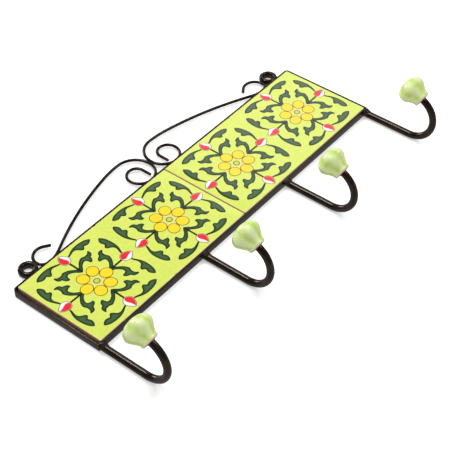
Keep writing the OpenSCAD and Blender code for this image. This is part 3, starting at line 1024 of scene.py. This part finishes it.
@dataclass
class TilePanel:
    """The row of four tiles."""

    # The grid that the painting lies on, and how far its lines along a side lie from that side
    grid_mm: float = 0.6
    side_lines_mm: tuple[float, ...] = (0, 0.07, 0.18, 0.33, 0.52, 0.75, 1.0, 1.35, 1.8)
    # The rounding of the corners and of the face's edges, and the face's slight pillow and unevenness
    corner_mm: float = 1.3
    edge_mm: float = 0.9
    pillow_mm: float = 0.18
    pillow_reach_mm: float = 9.0
    uneven_mm: float = 0.05
    # Where two tiles are butted, their glaze nearly meets
    butt_reach_mm: float = 0.045
    # How far each painting is off its tile's centre, and where its first petal points, in degrees
    motif_shifts_mm: tuple[float, ...] = (-0.5, -0.5, 0.1, 0.1)
    first_petals: tuple[float, ...] = (0.0, 0.0, 30.0, 30.0)
    paint_mm: float = 0.05
    # The yellowish rim along the sides, how far the glaze runs down a side, and the bare strip on the face
    rim_mm: float = 1.1
    glazed_depth_mm: float = 0.42
    bare_strip_mm: float = 0.4
    # The crossed ribs on the back: their spacing, where a rib slopes into the hollow beside it, how deep the
    # hollows are, and where they end at the plain margin
    rib_mm: float = 9.5
    rib_side_mm: tuple[float, float] = (0.9, 1.5)
    hollow_depth_mm: float = 0.5
    margin_mm: tuple[float, float] = (4.0, 4.8)
    motif: FloralMotif = field(default_factory=FloralMotif)

    def lines(self, half: float) -> np.ndarray:
        """Places the grid's lines, closer together along the sides.

        Args:
            half: Half of the tile's side, in millimetres.

        Returns:
            Where the lines lie, from one side to the other.
        """
        near = np.array(self.side_lines_mm)
        count = round((2 * half - 2 * near[-1]) / self.grid_mm)
        inner = np.linspace(-half + near[-1], half - near[-1], count + 1)
        return np.concatenate([-half + near[:-1], inner, (half - near[:-1])[::-1]])

    def grid(self, half: float, butted: int) -> tuple[np.ndarray, np.ndarray, np.ndarray]:
        """Lays the grid in a square with rounded corners.

        Args:
            half: Half of the tile's side, in millimetres.
            butted: 1 if the tile's right side is butted against another tile, -1 if its left side is.

        Returns:
            Two coordinates and the distance from the nearest free side, each one flat array.
        """
        lines = self.lines(half)
        x, z = (a.ravel() for a in np.meshgrid(lines, lines))
        inset = half - np.maximum(-butted * x, abs(z))
        reach = np.where(x * butted > half - 0.01, self.butt_reach_mm * butted, 0)
        core = half - self.corner_mm
        dx, dz = abs(x) - core, abs(z) - core
        corner = (dx > 0) & (dz > 0)
        shrink = np.where(corner, np.maximum(dx, dz) / np.maximum(np.hypot(dx, dz), 1e-9), 1)
        x = np.where(corner, np.sign(x) * (core + dx * shrink), x)
        z = np.where(corner, np.sign(z) * (core + dz * shrink), z)
        return x + np.where(corner, 0, reach), z, inset

    def build(self, number: int, glaze: bpy.types.Material) -> bpy.types.Object:
        """Builds one tile: painted face, rolled edges, bare sides and a ribbed back.

        Args:
            number: The tile's number from the left, from 1.
            glaze: The tile's material.

        Returns:
            The finished tile.
        """
        node = f"tile_{number}"
        low, high = (np.array(corner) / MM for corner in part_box(node))
        half = (high[0] - low[0]) / 2
        centre_x, centre_z = (low[0] + high[0]) / 2, (low[2] + high[2]) / 2
        butted = 1 if number % 2 else -1
        x, z, inset = self.grid(half, butted)
        side = len(self.lines(half))
        shift = self.motif_shifts_mm[number - 1]
        fields = self.motif.fields(x - shift, z, self.first_petals[number - 1], number * 1.37)

        rolled = np.clip(self.edge_mm - inset, 0, None)
        drop = self.edge_mm - np.sqrt(np.clip(self.edge_mm**2 - rolled**2, 0, None))
        drop += self.pillow_mm * (1 - smoothstep(0, self.pillow_reach_mm, inset))
        drop += self.uneven_mm * (1 + wander(x, z, number * 2.9))
        painted = np.max([smoothstep(-0.2, 0.5, fields[name]) for name in ("leaf", "bud", "petal", "eye")], 0)
        front = low[1] + drop + self.paint_mm * (1 - painted)

        half_rib = self.rib_mm / 2
        squares = np.minimum(abs(x + half_rib) % self.rib_mm, abs(z + half_rib) % self.rib_mm)
        hollow = smoothstep(*self.rib_side_mm, squares)
        hollow *= smoothstep(*self.rib_side_mm, self.rib_mm - squares)
        hollow *= smoothstep(*self.margin_mm, inset)
        back = high[1] - self.hollow_depth_mm * hollow

        def sheet(depth: np.ndarray) -> np.ndarray:
            """The grid's corners in metres, at the given depths."""
            return np.stack([x + centre_x, depth, z + centre_z], 1) * MM

        count = side * side
        faces = []
        for r in range(side - 1):
            for c in range(side - 1):
                a = r * side + c
                faces.append((a, a + 1, a + side + 1, a + side))
                faces.append((count + a, count + a + side, count + a + side + 1, count + a + 1))
        rim = list(range(side))
        rim += [r * side + side - 1 for r in range(1, side)]
        rim += [(side - 1) * side + c for c in range(side - 2, -1, -1)]
        rim += [r * side for r in range(side - 2, 0, -1)]
        shares = (0.25, 0.5, 0.75)
        wall = [sheet(front)[rim] * (1 - s) + sheet(back)[rim] * s for s in shares]
        starts = [2 * count + k * len(rim) for k in range(len(shares))]
        rows = [rim] + [list(range(start, start + len(rim))) for start in starts]
        rows.append([count + v for v in rim])
        for upper, lower in zip(rows, rows[1:]):
            for k in range(len(rim)):
                after = (k + 1) % len(rim)
                faces.append((upper[k], lower[k], lower[after], upper[after]))
        tile = mesh_object(node + "_glazed", np.concatenate([sheet(front), sheet(back)] + wall), faces)

        rest = len(tile.data.vertices) - count
        for name, values in fields.items():
            write_field(tile.data, name, np.concatenate([values, np.full(rest, OUTSIDE_MM)]))
        write_field(tile.data, "rim", np.concatenate([self.rim_mm - inset, np.full(rest, self.rim_mm)]))
        across, depth, up = np.array([v.co for v in tile.data.vertices]).T / MM
        patchy = 0.25 * wander(across * 4, up * 4, number)
        flat = np.concatenate([inset > self.bare_strip_mm, np.full(rest, False)])
        bare = depth - low[1] - self.glazed_depth_mm + patchy
        write_field(tile.data, "bare", np.where(flat, OUTSIDE_MM, bare))
        tile.data.materials.append(glaze)
        return mount_piece(tile, node)


# ---------------------------------------------------------------- the iron


@dataclass
class StripFrame:
    """The mitred strips on edge round the tiles, and the flat ones behind them."""

    bars: tuple[str, ...] = tuple(
        f"{kind}_{side}" for kind in ("frame", "ledge") for side in ("top", "bottom", "left", "right")
    )
    edge: float = 0.22 * MM

    def build(self, bar: str, paint: bpy.types.Material) -> bpy.types.Object:
        """Copies a bar, joins its faces and rounds its edges.

        Args:
            bar: The bar's node.
            paint: The bar's material.

        Returns:
            The finished bar.
        """
        shape = bmesh.new()
        shape.from_mesh(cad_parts[bar].data)
        bmesh.ops.remove_doubles(shape, verts=shape.verts, dist=1e-6)
        bmesh.ops.dissolve_limit(shape, angle_limit=math.radians(1), verts=shape.verts, edges=shape.edges)
        bmesh.ops.recalc_face_normals(shape, faces=shape.faces)
        mesh = bpy.data.meshes.new(bar + "_bar")
        shape.to_mesh(mesh)
        shape.free()
        piece = linked(bar + "_bar", mesh)
        bevel = piece.modifiers.new("edges", "BEVEL")
        bevel.width = self.edge
        bevel.segments = 3
        bevel.angle_limit = math.radians(35)
        bevel.harden_normals = False
        evaluated = piece.evaluated_get(bpy.context.evaluated_depsgraph_get())
        piece.data = bpy.data.meshes.new_from_object(evaluated)
        piece.modifiers.clear()
        piece.data.shade_smooth()
        piece.data.set_sharp_from_angle(angle=math.radians(40))
        piece.data.materials.clear()
        piece.data.materials.append(paint)
        return mount_piece(piece, bar)


@dataclass
class Knob:
    """A cast knob about the Z axis, its mouth at zero height: a hole for the rod, a thin lip, a belly that
    swells from the mouth to the shoulder, twisted lobes and a soft crown."""

    hole: float = 3.55 * MM
    hole_depth: float = 12.2 * MM
    mouth: float = 6.4 * MM
    mouth_edge: float = 0.4 * MM
    lip: float = 0.25 * MM
    belly: float = 11.5 * MM
    shoulder: float = 11.4 * MM
    height: float = 18.6 * MM
    # Steps up the belly, over the crown and round the knob
    belly_steps: int = 30
    crown_steps: int = 26
    sides: int = 96
    lobes: int = 6
    lobe_depth: float = 0.9 * MM
    lobe_wander: float = 2.4
    twist_per_metre: float = 22.0

    def profile(self) -> Points:
        """Draws the knob's section.

        Returns:
            Radius and height of each point, from the bottom of the hole over the mouth to the crown and back.
        """
        points = [(self.hole, self.hole_depth), (self.hole, self.hole_depth / 2), (self.hole, 0.5 * MM)]
        points += [(self.hole + 0.3 * MM, 0.1 * MM), (self.mouth - 0.8 * MM, 0.0)]
        points.append((self.mouth - 0.25 * MM, 0.12 * MM))
        for k in range(self.belly_steps):
            t = (k + 1) / self.belly_steps
            lip = self.lip * math.exp(-(((t - 0.04) / 0.08) ** 2))
            swell = t**1.15 * t * (3 - 2 * t)
            radius = self.mouth + (self.belly - self.mouth) * swell + lip
            points.append((radius, self.mouth_edge + (self.shoulder - self.mouth_edge) * t))
        for k in range(1, self.crown_steps):
            a = math.pi / 2 * k / self.crown_steps
            rise = (self.height - self.shoulder) * math.sin(a)
            points.append((self.belly * math.cos(a) ** 0.88, self.shoulder + rise))
        return points + [(0.0, self.height), (0.0, self.hole_depth)]

    def cast(self, number: int, tree: bpy.types.NodeTree, glaze: bpy.types.Material) -> bpy.types.Object:
        """Casts one knob.

        Args:
            number: The hook's number, which turns and wavers the lobes in a way of its own.
            tree: The tree of lobe_tree.
            glaze: The knob's material.

        Returns:
            The knob, still about the Z axis.
        """
        knob = revolved(f"knob_{number}_cast", self.profile(), self.sides)
        spots = np.array([v.co for v in knob.data.vertices])
        outer = np.hypot(spots[:, 0], spots[:, 1])
        share = spots[:, 2] / self.height
        # The lobes fade out at the mouth, at the crown and inside the hole
        swell = smoothstep(0.04, 0.3, share) * (1 - 0.8 * smoothstep(0.8, 1.0, share))
        swell *= smoothstep(3.4 * MM, 5.0 * MM, outer)
        write_field(knob.data, "swell", swell)
        write_field(knob.data, "rise", spots[:, 2] / MM)
        sizes = {"Lobes": self.lobes, "Depth": self.lobe_depth, "Twist": self.twist_per_metre}
        own = {"Phase": 1.3 * number, "Wander": self.lobe_wander, "Material": glaze}
        return baked(knob, tree, sizes | own)


@dataclass
class Hook:
    """A bent rod with its knob and the cement that holds it."""

    number: int
    radius: float = 2.75 * MM
    bend_radius: float = 18.7 * MM
    turn: float = 155.0
    necks: tuple[float, ...] = (2.0 * MM, 0.5 * MM, 0.5 * MM, 0.5 * MM)
    # How far each hook leans to the right, in degrees
    leans: tuple[float, ...] = (0.0, 2.0, 1.0, 2.0)
    # How far the rod goes into the knob
    grip: float = 11.4 * MM
    # The cement's section: radius and height over the knob's mouth
    fill_profile_mm: tuple[tuple[float, float], ...] = (
        (2.6, 12), (2.6, 0.2), (3.0, -0.2), (3.4, -0.25), (3.85, -0.05), (3.5, 0.8), (3.5, 12),
    )
    fill_sides: int = 72
    fill_lump: float = 0.3 * MM
    fill_lumps_per_metre: float = 900.0

    def across(self) -> Vector:
        """The level direction square to the plane of the hook."""
        lean = math.radians(self.leans[self.number - 1])
        return Vector((math.cos(lean), math.sin(lean), 0))

    def line(self) -> Path:
        """Draws the rod's middle line, from the frame to the knob's mouth.

        Returns:
            The path, which can be walked on into the knob.
        """
        low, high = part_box(f"hook_{self.number}")
        start = Vector((low.x + self.radius, high.y - self.radius, high.z))
        shank = high.z - (low.z + self.radius + self.bend_radius)
        path = Path(start, Vector((0, 0, -1)), -self.across())
        return path.straight(shank).bend(self.bend_radius, self.turn).straight(self.necks[self.number - 1])

    def place(self) -> Matrix:
        """Finds where the knob sits.

        Returns:
            The move from the Z axis onto the knob's axis, with the mouth at zero height.
        """
        path = self.line()
        rise = path.heading.normalized()
        across = self.across()
        turn = Matrix((across, rise.cross(across), rise)).transposed().to_4x4()
        return Matrix.Translation(path.point) @ turn

    def rod(self, tree: bpy.types.NodeTree, paint: bpy.types.Material) -> bpy.types.Object:
        """Bends the rod.

        Args:
            tree: The tree of rod_tree.
            paint: The rod's material.

        Returns:
            The finished rod.
        """
        node = f"hook_{self.number}"
        points = self.line().straight(self.grip).points
        rod = rod_along(node + "_rod", points, self.radius, tree, paint, False, False)
        return mount_piece(rod, node)

    def knob(self, tree: bpy.types.NodeTree, glaze: bpy.types.Material) -> bpy.types.Object:
        """Casts the knob and sets it on the rod.

        Args:
            tree: The tree of lobe_tree.
            glaze: The knob's material.

        Returns:
            The finished knob.
        """
        knob = Knob().cast(self.number, tree, glaze)
        knob.data.transform(self.place())
        return mount_piece(knob, f"knob_{self.number}")

    def cement(self, fill: bpy.types.Material) -> bpy.types.Object:
        """Packs the rough fill round the rod in the knob's mouth.

        Args:
            fill: The cement's material.

        Returns:
            The finished fill, lumpy where it shows.
        """
        profile = [(radius * MM, height * MM) for radius, height in self.fill_profile_mm]
        ring = revolved(f"knob_{self.number}_fill", profile, self.fill_sides)
        for v in ring.data.vertices:
            if v.co.z < 1 * MM:
                lump = noise.noise(v.co * self.fill_lumps_per_metre + Vector((self.number, 0, 0)))
                v.co.z += self.fill_lump * lump
                v.co.xy *= 1 + 0.05 * lump
        ring.data.transform(self.place())
        ring.data.materials.append(fill)
        return mount_piece(ring, f"knob_cement_{self.number}")


@dataclass
class Scroll:
    """One half of the crest, a single length of wire: an inner spiral, a high shoulder, a long arm down to
    the bar and a small curl against the eyelet."""

    side: Side
    radius: float = 1.15 * MM
    unevenness: float = 0.08
    # From the foot on the bar: the rise to the shoulder outwards, and the spiral's quarters and tip inwards
    outer_low: float = 13.4 * MM
    outer_high: float = 16.8 * MM
    inner: tuple[float, ...] = (11 * MM, 8.4 * MM, 7 * MM)
    inner_end: float = 8.4 * MM
    # The arm: a slow bend over the shoulder, a straight, a bend onto the bar and a short level stretch
    brow_radius: float = 90 * MM
    brow_turn: float = 11.0
    arm_straight: float = 8 * MM
    foot_radius: float = 23 * MM
    level: float = 1.0 * MM
    # The curl against the eyelet
    curl_low: float = 6.05 * MM
    curl: float = 9.3 * MM
    curl_over: float = 35.0
    curl_tip: float = 5.5 * MM

    def arm(self, run: float) -> tuple[float, float]:
        """Finds the arm's tilt and radius, so that it comes down to the bar after the given run.

        Args:
            run: The distance along the bar from the shoulder's top to the level stretch.

        Returns:
            The tilt at the arm's steepest, in degrees, and the radius of its long bend.
        """
        brow = math.radians(self.brow_turn)

        def radius(tilt: float) -> float:
            """The long bend's radius for a tilt in radians."""
            left = run - self.brow_radius * math.sin(brow) - self.arm_straight * math.cos(tilt)
            return (left - self.foot_radius * math.sin(tilt)) / (math.sin(tilt) - math.sin(brow))

        def drop(tilt: float) -> float:
            """How far the arm comes down for a tilt in radians."""
            fall = self.brow_radius * (1 - math.cos(brow)) + radius(tilt) * (math.cos(brow) - math.cos(tilt))
            return fall + self.arm_straight * math.sin(tilt) + self.foot_radius * (1 - math.cos(tilt))

        low, high = brow + 0.02, 1.2
        for _ in range(50):
            middle = (low + high) / 2
            if drop(middle) < self.outer_low + self.outer_high:
                low = middle
            else:
                high = middle
        return math.degrees(low), radius(low)

    def build(self, tree: bpy.types.NodeTree, paint: bpy.types.Material) -> bpy.types.Object:
        """Bends the wire.

        Args:
            tree: The tree of rod_tree.
            paint: The wire's material.

        Returns:
            The finished scroll.
        """
        node = f"scroll_{self.side.name.lower()}"
        low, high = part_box(node)
        sign = self.side.value
        outermost = max(abs(low.x), abs(high.x))
        depth = (low.y + high.y) / 2
        foot = Vector((-(self.radius + self.outer_low), depth, low.z + self.radius))
        into_wall = Vector((0, -1, 0))
        tilt, long_radius = self.arm(
            outermost - self.radius - self.curl_low - self.level - self.radius - self.outer_high
        )
        out = Path(foot, Vector((1, 0, 0)), into_wall)
        out.bend(self.outer_low, 90).bend(self.outer_high, 90).bend(self.brow_radius, self.brow_turn)
        out.bend(long_radius, tilt - self.brow_turn).straight(self.arm_straight).bend(self.foot_radius, -tilt)
        out.straight(self.level).bend(self.curl_low, -90).bend(self.curl, -90 - self.curl_over)
        out.straight(self.curl_tip)
        inward = Path(foot, Vector((-1, 0, 0)), into_wall)
        for radius in self.inner:
            inward.bend(radius, -90)
        inward.straight(self.inner_end)
        points = inward.points[::-1] + out.points[1:]
        if sign > 0:
            points = [Vector((-p.x, p.y, p.z)) for p in points]
        wire = rod_along(node + "_wire", points, self.radius, tree, paint, True, True, self.unevenness)
        return mount_piece(wire, node)


@dataclass
class Eyelet:
    """A thick ring that takes a wall screw."""

    side: Side
    hole: float = 3.5 * MM
    rounding: float = 1.75 * MM
    # The hole's edge at the wall is nearly square
    back_rounding: float = 0.3 * MM
    steps: int = 9
    sides: int = 96
    # The hole stays true this far out from its wall
    true_wall: float = 0.8 * MM
    unevenness: float = 0.012
    waves_per_metre: float = 220.0

    def build(self, paint: bpy.types.Material) -> bpy.types.Object:
        """Turns the ring, and leaves it slightly uneven.

        Args:
            paint: The ring's material.

        Returns:
            The finished ring.
        """
        node = f"eyelet_{self.side.name.lower()}"
        low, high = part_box(node)
        outer, thick = (high.x - low.x) / 2, high.y - low.y
        profile = []
        corners = (
            (outer, thick, 0, self.rounding),
            (self.hole, thick, 90, self.rounding),
            (self.hole, 0, 180, self.back_rounding),
            (outer, 0, 270, self.rounding),
        )
        for radius, height, start, rounding in corners:
            centre_r = radius - math.copysign(rounding, radius - (outer + self.hole) / 2)
            centre_h = height - math.copysign(rounding, height - thick / 2)
            for k in range(self.steps):
                a = math.radians(start + 90 * k / (self.steps - 1))
                profile.append((centre_r + rounding * math.cos(a), centre_h + rounding * math.sin(a)))
        ring = revolved(node + "_ring", profile, self.sides)
        own = Vector((5 * self.side.value, 0, 0))
        for v in ring.data.vertices:
            if v.co.xy.length > self.hole + self.true_wall:
                v.co.xy *= 1 + self.unevenness * noise.noise(v.co * self.waves_per_metre + own)
        stand = Matrix.Translation(Vector(((low.x + high.x) / 2, high.y, (low.z + high.z) / 2)))
        ring.data.transform(stand @ Matrix.Rotation(math.pi / 2, 4, "X"))
        ring.data.materials.append(paint)
        return mount_piece(ring, node)


@dataclass
class Welds:
    """The weld metal round the hooks, and where wires and rings meet the top bar."""

    # Each row of drops round a hook: how far it lies under the bar and past the rod, and its size, all in
    # millimetres; the drops go round the front half of the rod
    collar_rows_mm: tuple[tuple[float, float, float], ...] = (
        (0.9, 0.375, 1.2), (2.2, 0.175, 0.92), (3.4, 0.0, 0.68),
    )
    collar_drops: int = 9
    collar_from: float = 205.0
    collar_turn: float = 130.0
    sink: float = 0.3 * MM
    # How far the drops reach to each side of a spiral's, a curl's and a ring's foot
    spiral_reach: float = 2.2 * MM
    curl_reach: float = 1.6 * MM
    ring_reach: float = 2.3 * MM
    wire_drop_mm: tuple[float, float, float] = (1.0, 0.7, 0.6)
    ring_drop_mm: tuple[float, float, float] = (1.3, 1.7, 0.6)
    dent: float = 0.5
    dent_size: float = 1.6 * MM
    seed: int = 4

    def collar_points(self) -> list[tuple[Vector, Vector]]:
        """Sets the drops round the hooks, denser and wider towards the bar.

        Returns:
            Place and radii of each drop.
        """
        drops = []
        for number in range(1, 5):
            low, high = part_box(f"hook_{number}")
            middle = Vector((low.x + Hook.radius, high.y - Hook.radius, high.z))
            for row, (under, past, size) in enumerate(self.collar_rows_mm):
                for k in range(self.collar_drops):
                    share = k / (self.collar_drops - 1)
                    a = math.radians(self.collar_from + self.collar_turn * share) + 0.1 * row
                    out = Hook.radius - self.sink + past * MM
                    place = middle + Vector((out * math.cos(a), out * math.sin(a), -under * MM))
                    drops.append((place, Vector((size, size, size * 1.15)) * MM))
        return drops

    def crest_points(self) -> list[tuple[Vector, Vector]]:
        """Sets the drops along the top bar.

        Returns:
            Place and radii of each drop.
        """
        low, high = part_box("scroll_left")
        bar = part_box("frame_top")[1].z
        depth = (low.y + high.y) / 2
        spiral = Scroll.radius + Scroll.outer_low
        curl = max(abs(low.x), abs(high.x)) - Scroll.radius - Scroll.curl_low
        ring = abs(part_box("eyelet_right")[0].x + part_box("eyelet_right")[1].x) / 2
        drops = []
        for side in (-1, 1):
            for x, reach in ((spiral, self.spiral_reach), (curl, self.curl_reach)):
                for step in (-1, -0.5, 0, 0.5, 1):
                    for front in (-1, 1):
                        place = Vector((side * (x + step * reach), depth + front * 1.1 * MM, bar + 0.35 * MM))
                        drops.append((place, Vector(self.wire_drop_mm) * MM))
            for step in (-1, 1):
                place = Vector((side * ring + step * self.ring_reach, depth, bar + 0.3 * MM))
                drops.append((place, Vector(self.ring_drop_mm) * MM))
        return drops

    def build(
        self,
        node: str,
        drops: list[tuple[Vector, Vector]],
        tree: bpy.types.NodeTree,
        paint: bpy.types.Material,
    ) -> bpy.types.Object:
        """Lays the drops.

        Args:
            node: The node that they stand for.
            drops: Place and radii of each drop.
            tree: The tree of bead_tree.
            paint: Their material.

        Returns:
            All drops as one piece.
        """
        name = node.removesuffix("s") + "_drops"
        mesh = bpy.data.meshes.new(name)
        mesh.from_pydata([tuple(place) for place, _ in drops], [], [])
        attribute = mesh.attributes.new("size", "FLOAT_VECTOR", "POINT")
        attribute.data.foreach_set("vector", np.array([tuple(size) for _, size in drops], np.float32).ravel())
        sizes = {"Dent": self.dent, "Dent Size": self.dent_size, "Seed": self.seed}
        piece = baked(linked(name, mesh), tree, sizes | {"Material": paint})
        return mount_piece(piece, node)


# ---------------------------------------------------------------- the studio


@dataclass(frozen=True)
class Lamp:
    """A square soft lamp: where it hangs and its side, in metres, and its power in watts."""

    name: str
    place: tuple[float, float, float]
    size: float
    power: float


@dataclass
class Studio:
    """A white table on which the rack lies on its back, a pale room, four soft lamps and the camera."""

    camera_mm: tuple[float, float, float] = (-517.9, -626.9, -476.1)
    aim_mm: tuple[float, float, float] = (-21.4, -6.8, -81.3)
    lens_mm: float = 100.16
    sensor_mm: float = 36.0
    table_gap: float = 0.3 * MM
    table_size: float = 6.0
    # How bright the room is for matt surfaces, and how bright its walls and the white table look in gloss
    sky: float = 0.66
    walls_in_gloss: float = 0.1
    table_in_gloss: float = 0.42
    lamps: tuple[Lamp, ...] = (
        Lamp("overhead", (0.0, -1.2, 0.42), 0.26, 5.0),
        Lamp("far_panel", (1.3, -1.05, 0.75), 0.7, 2.0),
        Lamp("right", (0.65, -1.1, -0.5), 0.32, 2.4),
        Lamp("backdrop", (0.2, -0.5, 2.3), 0.9, 14.0),
    )

    def camera(self) -> None:
        """Places the camera, with the table below it."""
        data = bpy.data.cameras.new("camera")
        data.lens = self.lens_mm
        data.sensor_width = self.sensor_mm
        data.clip_start = 0.01
        data.clip_end = 50
        camera = linked("camera", data)
        place, aim = Vector(self.camera_mm) * MM, Vector(self.aim_mm) * MM
        back = (place - aim).normalized()
        right = Vector((0, -1, 0)).cross(back).normalized()
        turn = Matrix((right, back.cross(right), back)).transposed().to_4x4()
        camera.matrix_world = Matrix.Translation(place) @ turn
        bpy.context.scene.camera = camera

    def table(self) -> None:
        """Lays the card just behind the rack."""
        half = self.table_size / 2
        outline = ((-half, -half), (half, -half), (half, half), (-half, half))
        corners = np.array([(x, self.table_gap, z) for x, z in outline])
        sheet = mesh_object("table", corners, [(0, 1, 2, 3)])
        sheet.data.materials.append(WhiteCard().material())

    def hang(self, lamp: Lamp) -> None:
        """Hangs a lamp so that it faces the rack.

        Args:
            lamp: The lamp.
        """
        data = bpy.data.lights.new(lamp.name, "AREA")
        data.size = lamp.size
        data.energy = lamp.power
        light = linked(lamp.name, data)
        light.location = lamp.place
        towards = Vector(self.aim_mm) * MM - Vector(lamp.place)
        light.rotation_euler = towards.to_track_quat("-Z", "Y").to_euler()

    def room(self) -> None:
        """Surrounds the rack with a pale room, which gloss sees as dark walls over the white table."""
        world = bpy.data.worlds.new("white_room")
        world.use_nodes = True
        tree = world.node_tree
        towards = add_node(tree, "ShaderNodeTexCoord").outputs["Generated"]
        depth = add_node(tree, "ShaderNodeSeparateXYZ", {"Vector": towards}).outputs["Y"]
        edge = {"Value": depth, "From Min": -0.04, "From Max": 0.04}
        levels = {"To Min": self.walls_in_gloss, "To Max": self.table_in_gloss}
        in_gloss = add_node(tree, "ShaderNodeMapRange", edge | levels).outputs["Result"]
        glossy = add_node(tree, "ShaderNodeLightPath").outputs["Is Glossy Ray"]
        levels = {"Value": glossy, "To Min": self.sky, "To Max": in_gloss}
        strength = add_node(tree, "ShaderNodeMapRange", levels).outputs["Result"]
        fill_sockets(tree, tree.nodes["Background"], {"Color": (1, 1, 1, 1), "Strength": strength})
        bpy.context.scene.world = world

    def build(self) -> None:
        """Sets up the camera, the table and the light."""
        self.camera()
        self.table()
        self.room()
        for lamp in self.lamps:
            self.hang(lamp)
        bpy.context.scene.view_settings.view_transform = "Standard"
        bpy.context.scene.view_settings.look = "None"


# ---------------------------------------------------------------- assembly


@dataclass
class HookRack:
    """The whole rack, with the finishes that its pieces share."""

    iron: bpy.types.Material
    tile_glaze: bpy.types.Material
    knob_glaze: bpy.types.Material
    knob_fill: bpy.types.Material
    mortar: bpy.types.Material

    @classmethod
    def with_finishes(cls) -> "HookRack":
        """Mixes the finishes.

        Returns:
            A rack that has its finishes and no pieces yet.
        """
        return cls(
            iron=BrushedEnamel().material(),
            tile_glaze=TileGlaze().material(),
            knob_glaze=KnobGlaze().material(),
            knob_fill=RoughFill("pink_plaster", "#e3c2ae", "#b98f7b").material(),
            mortar=RoughFill("brown_grout", "#b89a58", "#8a6c3a").material(),
        )

    def tiles(self) -> list[bpy.types.Object]:
        """Builds the four tiles, and finishes the adhesive and the grout, whose shapes are right as they are.

        Returns:
            The tiles and the two solids.
        """
        panel = TilePanel()
        pieces = [panel.build(number, self.tile_glaze) for number in range(1, 5)]
        for node in ("tile_adhesive", "centre_grout"):
            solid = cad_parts[node]
            solid.data.materials.clear()
            solid.data.materials.append(self.mortar)
            pieces.append(solid)
        return pieces

    def ironwork(self) -> list[bpy.types.Object]:
        """Builds the frame, the hooks with their knobs, the crest and the welds.

        Returns:
            Every piece of it.
        """
        strips = StripFrame()
        pieces = [strips.build(bar, self.iron) for bar in strips.bars]
        rods, lobes, beads = rod_tree(), lobe_tree(), bead_tree()
        for number in range(1, 5):
            hook = Hook(number)
            pieces += [hook.rod(rods, self.iron), hook.knob(lobes, self.knob_glaze)]
            pieces.append(hook.cement(self.knob_fill))
        for side in Side:
            pieces += [Scroll(side).build(rods, self.iron), Eyelet(side).build(self.iron)]
        welds = Welds()
        pieces.append(welds.build("hook_welds", welds.collar_points(), beads, self.iron))
        pieces.append(welds.build("crest_welds", welds.crest_points(), beads, self.iron))
        return pieces


def corners(box: tuple[Vector, Vector]) -> list[list[float]]:
    """A box's two corners as plain lists of numbers."""
    return [[float(v) for v in corner] for corner in box]


def main() -> None:
    """Builds the studio and the rack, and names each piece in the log."""
    logging.basicConfig(level=logging.INFO, format="%(name)s: %(message)s")
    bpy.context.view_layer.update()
    Studio().build()
    rack = HookRack.with_finishes()
    for piece in rack.tiles() + rack.ironwork():
        LOG.info("%s: %d faces", piece.name, len(piece.data.polygons))


if __name__ == "__main__":
    main()
